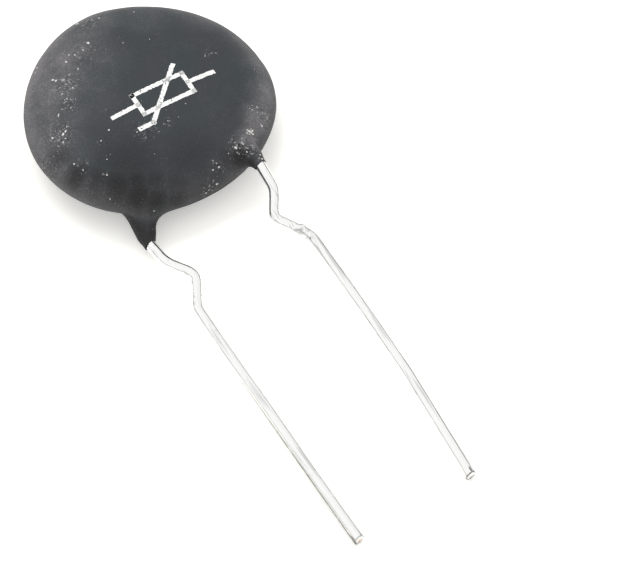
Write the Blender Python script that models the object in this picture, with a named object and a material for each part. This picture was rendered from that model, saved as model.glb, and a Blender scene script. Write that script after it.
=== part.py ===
"""Disc inrush current limiter with two radial leads, lying on a table as it comes to rest.

A sintered ceramic disc carries a silver electrode on each face. One tinned lead is soldered along
each electrode, so the two leads run on opposite faces. A dipped resin coat closes over all of it in a
pillow shape and ends in a neck round each lead. Outside the coat both leads have an inward kink, which
keeps the coat clear of a circuit board.

The disc's own frame has its axis along Z and the leads leaving towards -Y. The disc is then leaned as it
lies, its lowest point is set on the table, and the leads come down to the table at their cut tips.
"""

from dataclasses import dataclass
from math import ceil, copysign, cos, pi, radians, sin, sqrt, tan

import bmesh
import bpy
import numpy as np
from mathutils import Matrix, Vector

MM = 0.001

# Ceramic disc and its silver electrodes
CERAMIC_DIAMETER = 15.0 * MM
CERAMIC_THICKNESS = 2.0 * MM
CERAMIC_EDGE_BEVEL = 0.15 * MM
ELECTRODE_MARGIN = 0.5 * MM  # bare ceramic left outside the silver
ELECTRODE_THICKNESS = 0.03 * MM

# Clearance left where one material is bonded to the next
SEAM = 0.01 * MM

# Leads
WIRE_DIAMETER = 0.75 * MM
LEAD_PITCH = 9.0 * MM
LEADS_OFF_CENTRE = 0.55 * MM  # how far the pair was soldered to the left of the disc's centre
LEAD_OVERLAP = 4.0 * MM  # how far the wire runs past the disc's centre line
LEAD_LENGTH = 27.1 * MM  # from the necks' ends to the cut tips
NECK_CONVERGE = 0.07 * MM  # how far a lead moves towards the mid-plane on its way out of the coat
KINK_SHOULDER = 2.15 * MM  # these three are measured from the neck's end, along the lead
KINK_APEX = 4.0 * MM
KINK_FOOT = 6.35 * MM
KINK_DEPTH = 1.15 * MM
BEND_RADIUS = 1.3 * MM  # of the wire's centre line
TIP_FLARE_LENGTH = 0.2 * MM  # burr that the cutter leaves

# Solder joints
SOLDER_FROM_EDGE = 0.7 * MM  # from the electrode's edge, where the lead crosses it
SOLDER_PAST_WIRE = 0.2 * MM  # past the wire's inner end
SOLDER_HALF_WIDTH = 1.15 * MM
SOLDER_COVER = 0.1 * MM  # over the top of the wire
SOLDER_END_FALL = 6  # power of the mound's fall towards its ends: the higher, the blunter they are

# Dipped coat
COAT_RIM_WALL = 1.1 * MM  # outside the ceramic's edge, on average round the disc
COAT_FACE_WALL = 1.6 * MM  # over the middle of each ceramic face
COAT_SQUARENESS = 2.29  # superellipse exponent of the pillow's section: 2 is an ellipse
COAT_OVAL = 0.015  # share by which the outline is wider across the leads
COAT_LOBES = 0.02  # share by which the outline bulges at the far side and beside each lead
INNER_BLEND = 1.9 * MM  # width over which the wet resin ran into a neck, on the side facing the other lead
OUTER_BLEND = 0.8 * MM  # the same on the side facing away
NECK_WALL = 0.22 * MM
NECK_PAST_RIM = 0.3 * MM  # how far the necks' ends stand past the coat's round outline
RIDGE_SETBACK = 2.9 * MM  # how far inside the ceramic's edge the coat starts to bulge over a wire

# How the part lies
LEAN_TO_RIGHT = 1.7  # degrees, the right side low
LEAN_TO_LEADS = 1.0  # degrees, the leads' side low

# Facets
ROUND_SIDES = 64
WIRE_SIDES = 14
SOLDER_SPOKES = 24
SOLDER_RINGS = 6
SOLDER_RING_POWER = 0.8  # draws the mound's rings towards its steep rim
BEVEL_SEGMENTS = 2
BEND_STEP = 15  # degrees between the rings of a bent wire
BOW_STEPS = 5
CAGE_ROWS = (-0.62, -0.2, 0.2, 0.62)  # cuts across the coat's cage, as shares of its half size
CAGE_DOME = 0.4  # how far the cage's faces fall from the middle to its edge
CAGE_LEVELS = 2
NECK_STATIONS = (0.35, 0.7, 1.0)  # rings of the cage along a neck
RELAX_ROUNDS = 6  # in each, the coat's points are evened out and moved back onto its form
RELAX_SHARE = 0.3
ROOT_STEPS = 6
SLOPE_STEP = 1e-6  # metres, for the form's slope by differences
FLAT = 1e-9  # keeps a division off zero where a form has no slope

CERAMIC_RADIUS = CERAMIC_DIAMETER / 2
WIRE_RADIUS = WIRE_DIAMETER / 2
ELECTRODE_RADIUS = CERAMIC_RADIUS - ELECTRODE_MARGIN
COAT_RADIUS = CERAMIC_RADIUS + COAT_RIM_WALL
COAT_HALF = CERAMIC_THICKNESS / 2 + COAT_FACE_WALL
NECK_REACH = COAT_RADIUS + NECK_PAST_RIM  # from the disc's centre, as are the next two
LEAD_REACH = NECK_REACH + LEAD_LENGTH
RIDGE_START = CERAMIC_RADIUS - RIDGE_SETBACK
ELECTRODE_FACE = CERAMIC_THICKNESS / 2 + SEAM + ELECTRODE_THICKNESS
WIRE_HEIGHT = ELECTRODE_FACE + SEAM + WIRE_RADIUS  # of the wire's centre over the mid-plane
EXIT_HEIGHT = WIRE_HEIGHT - NECK_CONVERGE
NECK_RADIUS = WIRE_RADIUS + NECK_WALL


@dataclass(frozen=True)
class Lead:
    """One lead: its side of the disc, its face, and how far it stands inside half the pitch on its way."""

    name: str
    side: int  # -1 left, +1 right
    face: int  # -1 lower, +1 upper
    exit_inset: float
    shoulder_inset: float
    run_inset: float
    tip_inset: float
    apex_radius: float
    tip_flare: float  # the burr's size as a share of the wire

    def x(self, inset):
        return self.side * (LEAD_PITCH / 2 - inset) - LEADS_OFF_CENTRE


LEADS = (
    Lead("left", -1, -1, 0.02 * MM, 0.30 * MM, 0.12 * MM, 0.05 * MM, 0.75 * MM, 1.06),
    Lead("right", 1, 1, 0.17 * MM, 0.27 * MM, -0.22 * MM, 0.08 * MM, 0.45 * MM, 1.16),
)


def clear_scene():
    for obj in list(bpy.data.objects):
        bpy.data.objects.remove(obj, do_unlink=True)


def material(name, color, roughness, metallic=0.0):
    mat = bpy.data.materials.new(name)
    mat.use_nodes = True
    shader = mat.node_tree.nodes["Principled BSDF"]
    shader.inputs["Base Color"].default_value = (*color, 1.0)
    shader.inputs["Roughness"].default_value = roughness
    shader.inputs["Metallic"].default_value = metallic
    return mat


def add_object(name, bm, mat=None, smooth_angle=35):
    """The finished bmesh as an object, shaded smooth up to the given angle in degrees."""
    mesh = bpy.data.meshes.new(name)
    bmesh.ops.recalc_face_normals(bm, faces=bm.faces)
    bm.to_mesh(mesh)
    bm.free()
    mesh.shade_smooth()
    mesh.set_sharp_from_angle(angle=radians(smooth_angle))
    if mat:
        mesh.materials.append(mat)
    obj = bpy.data.objects.new(name, mesh)
    bpy.context.scene.collection.objects.link(obj)
    return obj


def as_cutter(obj, cutters):
    """Hides a helper from renders and keeps it in the coat's collection of cutters."""
    obj.hide_render = True
    obj.display_type = "WIRE"
    bpy.context.scene.collection.objects.unlink(obj)
    cutters.objects.link(obj)
    return obj


def disc(name, radius, bottom, top, mat=None, bevel=0.0):
    """A flat round plate between two heights, with its two rims bevelled if asked."""
    bm = bmesh.new()
    place = Matrix.Translation((0, 0, (bottom + top) / 2))
    bmesh.ops.create_cone(
        bm, cap_ends=True, segments=ROUND_SIDES, radius1=radius, radius2=radius,
        depth=top - bottom, matrix=place,
    )
    if bevel:
        rims = [edge for edge in bm.edges if edge.verts[0].co.z == edge.verts[1].co.z]
        bmesh.ops.bevel(bm, geom=rims, offset=bevel, segments=BEVEL_SEGMENTS, profile=0.5, affect="EDGES")
    return add_object(name, bm, mat)


def rounded(corners):
    """The path through (point, bend radius) corners, with an arc at each inner corner."""
    points = [corners[0][0]]
    for (before, _), (here, radius), (after, _) in zip(corners, corners[1:], corners[2:]):
        back, ahead = (before - here).normalized(), (after - here).normalized()
        turn = pi - back.angle(ahead)
        if turn < radians(1):
            points.append(here)
            continue
        length = radius * tan(turn / 2)
        centre = here + (back + ahead).normalized() * (radius / cos(turn / 2))
        start = (here + back * length - centre).normalized()
        end = (here + ahead * length - centre).normalized()
        steps = ceil(turn / radians(BEND_STEP)) + 1
        for step in range(steps + 1):
            points.append(centre + start.slerp(end, step / steps) * radius)
    points.append(corners[-1][0])
    return points


def tube(name, path, sizes, mat=None):
    """A round bar along a path. sizes gives the radius at each of its points."""
    bm = bmesh.new()
    side = Vector((1, 0, 0))
    rings = []
    for index, (point, radius) in enumerate(zip(path, sizes)):
        ahead = path[min(index + 1, len(path) - 1)] - point
        behind = point - path[max(index - 1, 0)]
        along = (ahead.normalized() + behind.normalized()).normalized()
        side = (side - along * side.dot(along)).normalized()
        up = along.cross(side)
        turns = [2 * pi * k / WIRE_SIDES for k in range(WIRE_SIDES)]
        rings.append([bm.verts.new(point + (side * cos(t) + up * sin(t)) * radius) for t in turns])
    for ring, following in zip(rings, rings[1:]):
        for k in range(WIRE_SIDES):
            after = (k + 1) % WIRE_SIDES
            bm.faces.new((ring[k], ring[after], following[after], following[k]))
    bm.faces.new(rings[0])
    bm.faces.new(rings[-1])
    return add_object(name, bm, mat)


def lead_inside(lead):
    """The corners of the lead's stretch inside the coat, in the disc's frame, up to the neck's end."""
    level = lead.face * WIRE_HEIGHT
    x = lead.x(lead.exit_inset)
    leaves_ceramic = -sqrt(CERAMIC_RADIUS**2 - x**2) - CERAMIC_EDGE_BEVEL
    return [
        (Vector((x, LEAD_OVERLAP, level)), 0),
        (Vector((x, leaves_ceramic, level)), BEND_RADIUS),
        (Vector((x, -NECK_REACH, lead.face * EXIT_HEIGHT)), BEND_RADIUS),
    ]


def lead_path(lead, pose):
    """(points, radii) of the whole lead in the table's frame."""
    inside = [(pose @ point, radius) for point, radius in lead_inside(lead)]
    leaves = inside[-1][0]
    tip = Vector((lead.x(lead.tip_inset), -LEAD_REACH, WIRE_RADIUS * lead.tip_flare))

    def at(inset, y):
        share = (leaves.y - y) / (leaves.y - tip.y)
        return Vector((lead.x(inset), y, leaves.z + (tip.z - leaves.z) * share))

    corners = inside + [
        (at(lead.shoulder_inset, leaves.y - KINK_SHOULDER), BEND_RADIUS),
        (at(lead.shoulder_inset + KINK_DEPTH, leaves.y - KINK_APEX), lead.apex_radius),
        (at(lead.run_inset, leaves.y - KINK_FOOT), BEND_RADIUS),
    ]
    # The run to the tip is a shallow bow, which turns back to the tip's place over its last stretch
    foot = leaves.y - KINK_FOOT
    for step in range(1, BOW_STEPS):
        share = step / BOW_STEPS
        inset = lead.run_inset + (lead.tip_inset - lead.run_inset) * share**3
        corners.append((at(inset, foot + (tip.y - foot) * share), BEND_RADIUS))
    corners.append((tip, 0))
    points = rounded(corners)
    burr = points[-1] + (points[-2] - points[-1]).normalized() * TIP_FLARE_LENGTH
    points.insert(-1, burr)
    sizes = [WIRE_RADIUS] * (len(points) - 1) + [WIRE_RADIUS * lead.tip_flare]
    return points, sizes


def solder_mound(name, lead, grow, mat=None):
    """The solder over one wire: bell-shaped in section, from near the silver's edge to past the wire."""
    x = lead.x(lead.exit_inset)
    start = SOLDER_FROM_EDGE - sqrt(ELECTRODE_RADIUS**2 - x**2)
    end = LEAD_OVERLAP + SOLDER_PAST_WIRE
    height = WIRE_DIAMETER + SOLDER_COVER + grow
    floor = ELECTRODE_FACE + SEAM
    bm = bmesh.new()

    def place(share, turn, sunk=0.0):
        across, along = share * cos(turn), share * sin(turn)
        bell = cos(across * pi / 2) ** 2 * (1 - share**SOLDER_END_FALL)
        return Vector((
            x + (SOLDER_HALF_WIDTH + grow) * across,
            (start + end) / 2 + ((end - start) / 2 + grow) * along,
            lead.face * (floor + height * bell - sunk),
        ))

    crown = bm.verts.new(place(0, 0))
    turns = [2 * pi * k / SOLDER_SPOKES for k in range(SOLDER_SPOKES)]
    shares = [(ring / SOLDER_RINGS) ** SOLDER_RING_POWER for ring in range(1, SOLDER_RINGS + 1)]
    rings = [[bm.verts.new(place(share, turn)) for turn in turns] for share in shares]
    if grow:
        rings.append([bm.verts.new(place(1, turn, 2 * grow)) for turn in turns])
    for k in range(SOLDER_SPOKES):
        after = (k + 1) % SOLDER_SPOKES
        bm.faces.new((crown, rings[0][k], rings[0][after]))
        for ring, following in zip(rings, rings[1:]):
            bm.faces.new((ring[k], following[k], following[after], ring[after]))
    bm.faces.new(rings[-1])
    return add_object(name, bm, mat)


def cut(target, name, cutter=None, collection=None):
    modifier = target.modifiers.new(name, "BOOLEAN")
    modifier.operation = "DIFFERENCE"
    modifier.solver = "EXACT"
    if collection:
        modifier.operand_type = "COLLECTION"
        modifier.collection = collection
    else:
        modifier.object = cutter


def pillow_form(points):
    """Distance-like value of the pillow at each point: below zero inside."""
    x, y, z = points.T
    turn = np.arctan2(y, x)
    radius = COAT_RADIUS * (1 + COAT_OVAL * np.cos(2 * turn) - COAT_LOBES * np.sin(3 * turn))
    across, up = np.hypot(x, y) / radius, np.abs(z) / COAT_HALF
    return (across**COAT_SQUARENESS + up**COAT_SQUARENESS) ** (1 / COAT_SQUARENESS) - 1


def neck_form(points, lead):
    """Distance to the round neck and the bulge over one wire, which run on without an end towards -Y."""
    inner, outer = (np.array(point) for point, _ in lead_inside(lead)[1:])
    inner = inner + (0, -RIDGE_START - inner[1], 0)
    along = (outer - inner) / np.linalg.norm(outer - inner)
    reach = np.maximum((points - inner) @ along, 0)
    return np.linalg.norm(points - inner - np.outer(reach, along), axis=1) - NECK_RADIUS


def slope(form, points):
    """Gradient of a form at each point, by central differences."""
    offsets = SLOPE_STEP * np.eye(3)
    return np.stack([(form(points + o) - form(points - o)) / (2 * SLOPE_STEP) for o in offsets], axis=1)


def coat_form(points):
    """The pillow run together with both necks. Wet resin draws into the corner between them, most on a neck's
    inner side, where the pillow's edge comes down to it at a sharp angle."""
    steepness = np.linalg.norm(slope(pillow_form, points), axis=1)
    value = pillow_form(points) / np.maximum(steepness, FLAT)
    for lead in LEADS:
        neck = neck_form(points, lead)
        outward = lead.side * (points[:, 0] - lead.x(lead.exit_inset)) / NECK_RADIUS
        inner_share = np.clip(0.5 - 0.5 * outward, 0, 1)
        blend = OUTER_BLEND + (INNER_BLEND - OUTER_BLEND) * inner_share
        share = np.clip(0.5 + 0.5 * (neck - value) / blend, 0, 1)
        value = neck * (1 - share) + value * share - blend * share * (1 - share)
    return value


def coat_cage():
    """A coarse box cage of the coat: cut along the leads, pulled out to each neck, and open at its ends."""
    foot = (NECK_RADIUS + (INNER_BLEND + OUTER_BLEND) / 8) / COAT_RADIUS
    lead_lines = [abs(lead.x(lead.exit_inset)) / COAT_RADIUS * sqrt(2) for lead in LEADS]
    middle = sum(lead_lines) / len(lead_lines)
    columns = (0, middle / 2 - foot / 2, middle - foot * sqrt(2), middle + foot * sqrt(2))
    bm = bmesh.new()
    bmesh.ops.create_cube(bm, size=2)
    cuts = [((side * u, 0, 0), (1, 0, 0)) for u in columns for side in (-1, 1) if u or side > 0]
    cuts += [((0, v, 0), (0, 1, 0)) for v in CAGE_ROWS]
    cuts.append(((0, 0, 0), (0, 0, 1)))
    for point, normal in cuts:
        everything = bm.verts[:] + bm.edges[:] + bm.faces[:]
        bmesh.ops.bisect_plane(bm, geom=everything, plane_co=point, plane_no=normal, dist=1e-5)
    for vert in bm.verts:
        u, v, w = vert.co
        dome = 1 - CAGE_DOME * max(abs(u), abs(v)) ** 2
        vert.co = (
            COAT_RADIUS * u * sqrt(1 - v * v / 2),
            COAT_RADIUS * v * sqrt(1 - u * u / 2),
            COAT_HALF * w * dome,
        )
    for lead in LEADS:
        pull_neck(bm, lead)
    return bm


def pull_neck(bm, lead):
    """Extrudes the cage face nearest to the lead out to the neck's end, and opens it there."""
    x, height = lead.x(lead.exit_inset), lead.face * EXIT_HEIGHT
    rim = -sqrt(COAT_RADIUS**2 - x**2)
    target = Vector((x, rim, height / 2))
    face = min(bm.faces, key=lambda f: (f.calc_center_median() - target).length)
    for share in NECK_STATIONS:
        face = bmesh.ops.extrude_discrete_faces(bm, faces=[face])["faces"][0]
        middle = face.calc_center_median()
        for vert in face.verts:
            vert.co = (
                x + copysign(NECK_RADIUS, vert.co.x - middle.x),
                rim - (NECK_REACH + rim) * share,
                height + copysign(NECK_RADIUS, vert.co.z - middle.z),
            )
    bmesh.ops.delete(bm, geom=[face], context="FACES_ONLY")


def coat_object(mat):
    """The coat's outer skin: the cage subdivided and moved onto the form, with the necks' ends closed."""
    cage = add_object("coat_cage", coat_cage())
    smooth = cage.modifiers.new("subdivide", "SUBSURF")
    smooth.levels = smooth.render_levels = CAGE_LEVELS
    bpy.context.view_layer.update()
    fine = bpy.data.meshes.new_from_object(cage.evaluated_get(bpy.context.evaluated_depsgraph_get()))
    bpy.data.objects.remove(cage, do_unlink=True)
    bm = bmesh.new()
    bm.from_mesh(fine)
    rims = {vert for edge in bm.edges if edge.is_boundary for vert in edge.verts}
    inner = [vert for vert in bm.verts if vert not in rims]
    for _ in range(RELAX_ROUNDS):
        bmesh.ops.smooth_vert(
            bm, verts=inner, factor=RELAX_SHARE, use_axis_x=True, use_axis_y=True, use_axis_z=True
        )
        points = np.array([vert.co for vert in bm.verts], dtype=float)
        for _ in range(ROOT_STEPS):
            gradient = slope(coat_form, points)
            size = np.maximum((gradient**2).sum(axis=1), FLAT)
            points -= gradient * (coat_form(points) / size)[:, None]
        for vert, point in zip(bm.verts, points):
            vert.co = point
    for vert in rims:
        vert.co.y = -NECK_REACH
    bmesh.ops.holes_fill(bm, edges=[edge for edge in bm.edges if edge.is_boundary])
    return add_object("coating", bm, mat)


def lowest(obj, matrix):
    return min((matrix @ vert.co).z for vert in obj.data.vertices)


def build():
    clear_scene()
    resin = material("coat_resin", (0.062, 0.066, 0.070), 0.62)
    ceramic = material("ceramic", (0.045, 0.042, 0.040), 0.75)
    silver = material("fired_silver", (0.72, 0.71, 0.68), 0.45, 1.0)
    tin = material("tinned_wire", (0.78, 0.78, 0.77), 0.28, 1.0)
    solder = material("solder", (0.62, 0.62, 0.61), 0.35, 1.0)

    coating = coat_object(resin)
    pose = Matrix.Rotation(radians(LEAN_TO_RIGHT), 4, "Y") @ Matrix.Rotation(radians(LEAN_TO_LEADS), 4, "X")
    pose = Matrix.Translation((0, 0, -lowest(coating, pose))) @ pose
    to_disc = pose.inverted()

    cutters = bpy.data.collections.new("coat_cutters")
    bpy.context.scene.collection.children.link(cutters)
    half = CERAMIC_THICKNESS / 2
    in_disc_frame = [
        coating,
        disc("ceramic_disc", CERAMIC_RADIUS, -half, half, ceramic, CERAMIC_EDGE_BEVEL),
        as_cutter(disc("ceramic_room", CERAMIC_RADIUS + SEAM, -half - SEAM, half + SEAM), cutters),
    ]
    room = disc("electrode_room", ELECTRODE_RADIUS + SEAM, -ELECTRODE_FACE - SEAM, ELECTRODE_FACE + SEAM)
    in_disc_frame.append(as_cutter(room, cutters))
    leads = []
    for lead in LEADS:
        level = "lower" if lead.face < 0 else "upper"
        faces = sorted((lead.face * (half + SEAM), lead.face * ELECTRODE_FACE))
        in_disc_frame.append(disc(f"{level}_electrode", ELECTRODE_RADIUS, *faces, silver))
        points, sizes = lead_path(lead, pose)
        leads.append(tube(f"{lead.name}_lead", points, sizes, tin))
        in_coat = [to_disc @ point for point in points]
        outside = next(k for k, point in enumerate(in_coat) if point.y < -NECK_REACH - SEAM)
        in_coat = in_coat[: outside + 2]
        room = tube(f"{lead.name}_wire_room", in_coat, [WIRE_RADIUS + SEAM] * len(in_coat))
        wire_room = as_cutter(room, cutters)
        joint = solder_mound(f"{lead.name}_solder", lead, 0, solder)
        cut(joint, "wire", wire_room)
        in_disc_frame += [joint, wire_room]
        in_disc_frame.append(as_cutter(solder_mound(f"{lead.name}_solder_room", lead, SEAM), cutters))
    cut(coating, "filling", collection=cutters)

    table = bpy.data.objects.new("table_frame", None)
    leaning = bpy.data.objects.new("disc_frame", None)
    for empty in (table, leaning):
        bpy.context.scene.collection.objects.link(empty)
    leaning.parent = table
    leaning.matrix_local = pose
    for obj in in_disc_frame:
        obj.parent = leaning
    for obj in leads:
        obj.parent = table
    centre_on_origin(table, [coating] + leads, pose)


def centre_on_origin(table, outer, pose):
    """Moves everything so that the origin is at the middle of the part's base."""
    corners = []
    for obj in outer:
        frame = pose if obj.name == "coating" else Matrix.Identity(4)
        corners += [frame @ vert.co for vert in obj.data.vertices]
    low = [min(corner[axis] for corner in corners) for axis in (0, 1)]
    high = [max(corner[axis] for corner in corners) for axis in (0, 1)]
    table.location = (-(low[0] + high[0]) / 2, -(low[1] + high[1]) / 2, 0)


build()
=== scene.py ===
import logging
from contextlib import contextmanager
from dataclasses import dataclass, field
from enum import Enum
from math import atan2, cos, pi, radians, sin
from random import Random
from typing import Any, Callable, Iterable, Iterator, Sequence

import bpy
import numpy as np
from bpy.types import ID, Material, NodeSocket, Object
from mathutils import Matrix, Quaternion, Vector, noise
from mathutils.bvhtree import BVHTree


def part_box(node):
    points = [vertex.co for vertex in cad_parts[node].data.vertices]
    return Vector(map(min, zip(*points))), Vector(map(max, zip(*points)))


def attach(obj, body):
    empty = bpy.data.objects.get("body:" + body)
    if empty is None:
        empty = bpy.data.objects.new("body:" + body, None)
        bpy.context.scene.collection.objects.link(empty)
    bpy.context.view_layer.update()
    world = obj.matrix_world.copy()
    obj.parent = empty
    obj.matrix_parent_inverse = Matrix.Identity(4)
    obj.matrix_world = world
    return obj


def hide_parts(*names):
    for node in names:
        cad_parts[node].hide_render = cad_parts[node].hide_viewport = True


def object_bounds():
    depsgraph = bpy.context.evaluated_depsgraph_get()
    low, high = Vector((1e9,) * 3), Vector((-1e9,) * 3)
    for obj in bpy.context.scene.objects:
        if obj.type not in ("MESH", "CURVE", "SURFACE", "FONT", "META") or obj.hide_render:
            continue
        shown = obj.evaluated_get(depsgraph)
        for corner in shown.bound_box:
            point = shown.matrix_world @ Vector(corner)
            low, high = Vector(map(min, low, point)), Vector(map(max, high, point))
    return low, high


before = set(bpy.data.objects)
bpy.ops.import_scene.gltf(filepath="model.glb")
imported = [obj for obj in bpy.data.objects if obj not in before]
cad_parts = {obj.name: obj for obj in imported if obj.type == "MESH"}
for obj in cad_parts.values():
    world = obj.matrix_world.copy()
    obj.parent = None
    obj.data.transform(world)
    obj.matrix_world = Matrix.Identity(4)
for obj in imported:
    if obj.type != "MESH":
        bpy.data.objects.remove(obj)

MM = 0.001
WIRE_RADIUS = 0.375 * MM
TIP_FADE_MM = 1.2  # how far up a wire the slant of its cut end is spread
CAD_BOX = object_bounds()
LOG = logging.getLogger("inrush_current_limiter")

Triple = tuple[float, float, float]
Colour = Triple
Pair = tuple[float, float]
Patch = tuple[Vector, float, float]
INNER_NODES = ("ceramic_disc", "upper_electrode", "lower_electrode", "left_solder", "right_solder",
               "left_lead", "right_lead")


class Face(Enum):
    """The face of the ceramic disc that a lead is soldered to."""

    LOWER = -1
    UPPER = 1


class Graph:
    """The shader nodes of one material or world, with the calls that add to them."""

    def __init__(self, owner: ID) -> None:
        """Opens the nodes of a material or world.

        Args:
            owner: The material or world.
        """
        self.owner = owner
        owner.use_nodes = True
        self.tree = owner.node_tree

    @classmethod
    def of_material(cls, name: str) -> "Graph":
        """Starts a material with one Principled shader."""
        return cls(bpy.data.materials.new(name))

    def value(self, kind: str, output: str | int, settings: dict[str, Any] | None = None,
              sockets: dict[Any, Any] | None = None) -> "Value":
        """Adds one node.

        Args:
            kind: The node's type, such as ShaderNodeTexNoise.
            output: The wanted output's name or number.
            settings: Properties that are set first.
            sockets: Values or links by the input's name or number.

        Returns:
            That output of the new node.
        """
        made = self.tree.nodes.new(kind)
        for key, setting in (settings or {}).items():
            setattr(made, key, setting)
        for key, given in (sockets or {}).items():
            self.feed(made.inputs[key], given)
        return Value(self, made.outputs[output])

    def feed(self, socket: NodeSocket, given: Any) -> None:
        """Links a value to an input, or sets the input to a plain value.

        Args:
            socket: The input.
            given: The value, a number or a colour.
        """
        if isinstance(given, Value):
            self.tree.links.new(given.socket, socket)
        elif socket.type == "RGBA" and len(given) == 3:
            socket.default_value = (*given, 1.0)
        else:
            socket.default_value = given

    def place(self) -> "Value":
        """The point on the surface, in the frame's metres."""
        return self.value("ShaderNodeTexCoord", "Object")

    def ray(self, kind: str) -> "Value":
        """One for rays of a kind, such as Camera or Glossy, and nothing for others."""
        return self.value("ShaderNodeLightPath", f"Is {kind} Ray")

    def framed(self, origin: Vector, axes: Sequence[Vector]) -> list["Value"]:
        """How far the surface point lies from an origin along each of some directions, in metres."""
        shifted = self.vector("SUBTRACT", self.place(), tuple(origin))
        return [self.vector("DOT_PRODUCT", shifted, tuple(axis)) for axis in axes]

    def near(self, point: Vector, outer: float, inner: float) -> "Value":
        """One up to the inner distance from a point, and falling to nothing at the outer one."""
        return self.vector("DISTANCE", self.place(), tuple(point)).ramp(outer, inner)

    def joined(self, parts: Sequence["Value"]) -> "Value":
        """Three numbers as one vector."""
        return self.value("ShaderNodeCombineXYZ", "Vector", sockets=dict(enumerate(parts)))

    def vector(self, operation: str, one: Any, other: Any) -> "Value":
        """A Vector Math node on two vectors."""
        output = "Value" if operation in ("DISTANCE", "DOT_PRODUCT") else "Vector"
        return self.value("ShaderNodeVectorMath", output, {"operation": operation}, {0: one, 1: other})

    def speckle(self, size: float, detail: float = 3.0, rough: float = 0.55,
                where: "Value | None" = None, twist: float = 0.0) -> "Value":
        """Soft random noise from 0 to 1.

        Args:
            size: The size of its largest patches, in metres.
            detail: How many finer layers it has.
            rough: How strong the finer layers are.
            where: The coordinates, or None for the surface point.
            twist: How far the noise bends itself.

        Returns:
            The noise.
        """
        return self.value("ShaderNodeTexNoise", 0, {"noise_dimensions": "3D"}, {
            "Vector": where or self.place(), "Scale": 1.0 / size, "Detail": detail,
            "Roughness": rough, "Distortion": twist})

    def cells(self, size: float) -> "Value":
        """Distance inside random cells of about the given size in metres, counted in cells."""
        return self.value("ShaderNodeTexVoronoi", "Distance",
                          sockets={"Vector": self.place(), "Scale": 1.0 / size})

    def mix(self, share: Any, one: Any, other: Any) -> "Value":
        """Blends two colours by a share from 0 to 1."""
        return self.value("ShaderNodeMix", 2, {"data_type": "RGBA"}, {0: share, 6: one, 7: other})

    def bump(self, height: "Value", strength: float, depth: float) -> "Value":
        """A surface normal from a height between 0 and 1.

        Args:
            height: The height.
            strength: How much of the effect is used.
            depth: What a height of 1 stands for, in metres.

        Returns:
            The normal.
        """
        return self.value("ShaderNodeBump", "Normal",
                          sockets={"Strength": strength, "Distance": depth, "Height": height})

    def dress(self, **sockets: Any) -> Material:
        """Feeds the Principled shader.

        Args:
            sockets: Its inputs by name, with base_color for Base Color and so on.

        Returns:
            The material.
        """
        shader = self.tree.nodes["Principled BSDF"]
        for key, given in sockets.items():
            self.feed(shader.inputs[key.replace("_", " ").title().replace("Ior", "IOR")], given)
        return self.owner


@dataclass(frozen=True)
class Value:
    """One output socket in a graph, with arithmetic that adds the Math nodes for it."""

    graph: Graph
    socket: NodeSocket

    def _math(self, operation: str, one: Any, other: Any) -> "Value":
        """A Math node on two numbers or sockets."""
        return self.graph.value("ShaderNodeMath", 0, {"operation": operation}, {0: one, 1: other})

    def __add__(self, other: Any) -> "Value":
        """The sum."""
        return self._math("ADD", self, other)

    def __mul__(self, other: Any) -> "Value":
        """The product."""
        return self._math("MULTIPLY", self, other)

    def __sub__(self, other: Any) -> "Value":
        """The difference."""
        return self._math("SUBTRACT", self, other)

    def __rsub__(self, other: Any) -> "Value":
        """The difference from a number."""
        return self._math("SUBTRACT", other, self)

    def larger(self, other: Any) -> "Value":
        """The larger of two values."""
        return self._math("MAXIMUM", self, other)

    def ramp(self, low: float, high: float, start: float = 0.0, end: float = 1.0) -> "Value":
        """A smooth step from start at low to end at high, held level outside them.

        Args:
            low: Where it starts.
            high: Where it ends.
            start: The value up to low.
            end: The value from high on.

        Returns:
            The stepped value.
        """
        return self.graph.value(
            "ShaderNodeMapRange", "Result", {"interpolation_type": "SMOOTHSTEP", "clamp": True},
            {"Value": self, "From Min": low, "From Max": high, "To Min": start, "To Max": end})


def rest_selection() -> None:
    """Deselects every object, which an operator needs before it acts on one piece."""
    if bpy.context.object and bpy.context.object.mode != "OBJECT":
        bpy.ops.object.mode_set(mode="OBJECT")
    bpy.ops.object.select_all(action="DESELECT")


def hold(obj: Object) -> Object:
    """Makes one object the only selected and active one.

    Args:
        obj: The object.

    Returns:
        The same object.
    """
    rest_selection()
    obj.select_set(True)
    bpy.context.view_layer.objects.active = obj
    return obj


def linked(name: str, data: ID) -> Object:
    """Adds a new object to the scene.

    Args:
        name: The object's name.
        data: Its mesh, curve, lamp or camera.

    Returns:
        The object.
    """
    obj = bpy.data.objects.new(name, data)
    bpy.context.scene.collection.objects.link(obj)
    return obj


@contextmanager
def editing(obj: Object) -> Iterator[None]:
    """Holds one object in edit mode while a with block runs.

    Args:
        obj: The object.

    Returns:
        The context of the with block.
    """
    hold(obj)
    bpy.ops.object.mode_set(mode="EDIT")
    yield
    bpy.ops.object.mode_set(mode="OBJECT")


def delete_faces(obj: Object, chosen: np.ndarray) -> None:
    """Deletes some faces of an object.

    Args:
        obj: The object.
        chosen: True for each face that goes.
    """
    with editing(obj):
        bpy.ops.mesh.select_mode(type="FACE")
        bpy.ops.mesh.select_all(action="DESELECT")
    obj.data.polygons.foreach_set("select", chosen)
    with editing(obj):
        bpy.ops.mesh.delete(type="FACE")


def apply_modifier(obj: Object, kind: str, **settings: Any) -> None:
    """Adds a modifier with its settings to an object and applies it.

    Args:
        obj: The object.
        kind: The modifier's type, such as SUBSURF.
        settings: The modifier's properties.
    """
    hold(obj)
    modifier = obj.modifiers.new(kind.lower(), kind)
    for key, setting in settings.items():
        setattr(modifier, key, setting)
    bpy.ops.object.modifier_apply(modifier=modifier.name)


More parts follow.
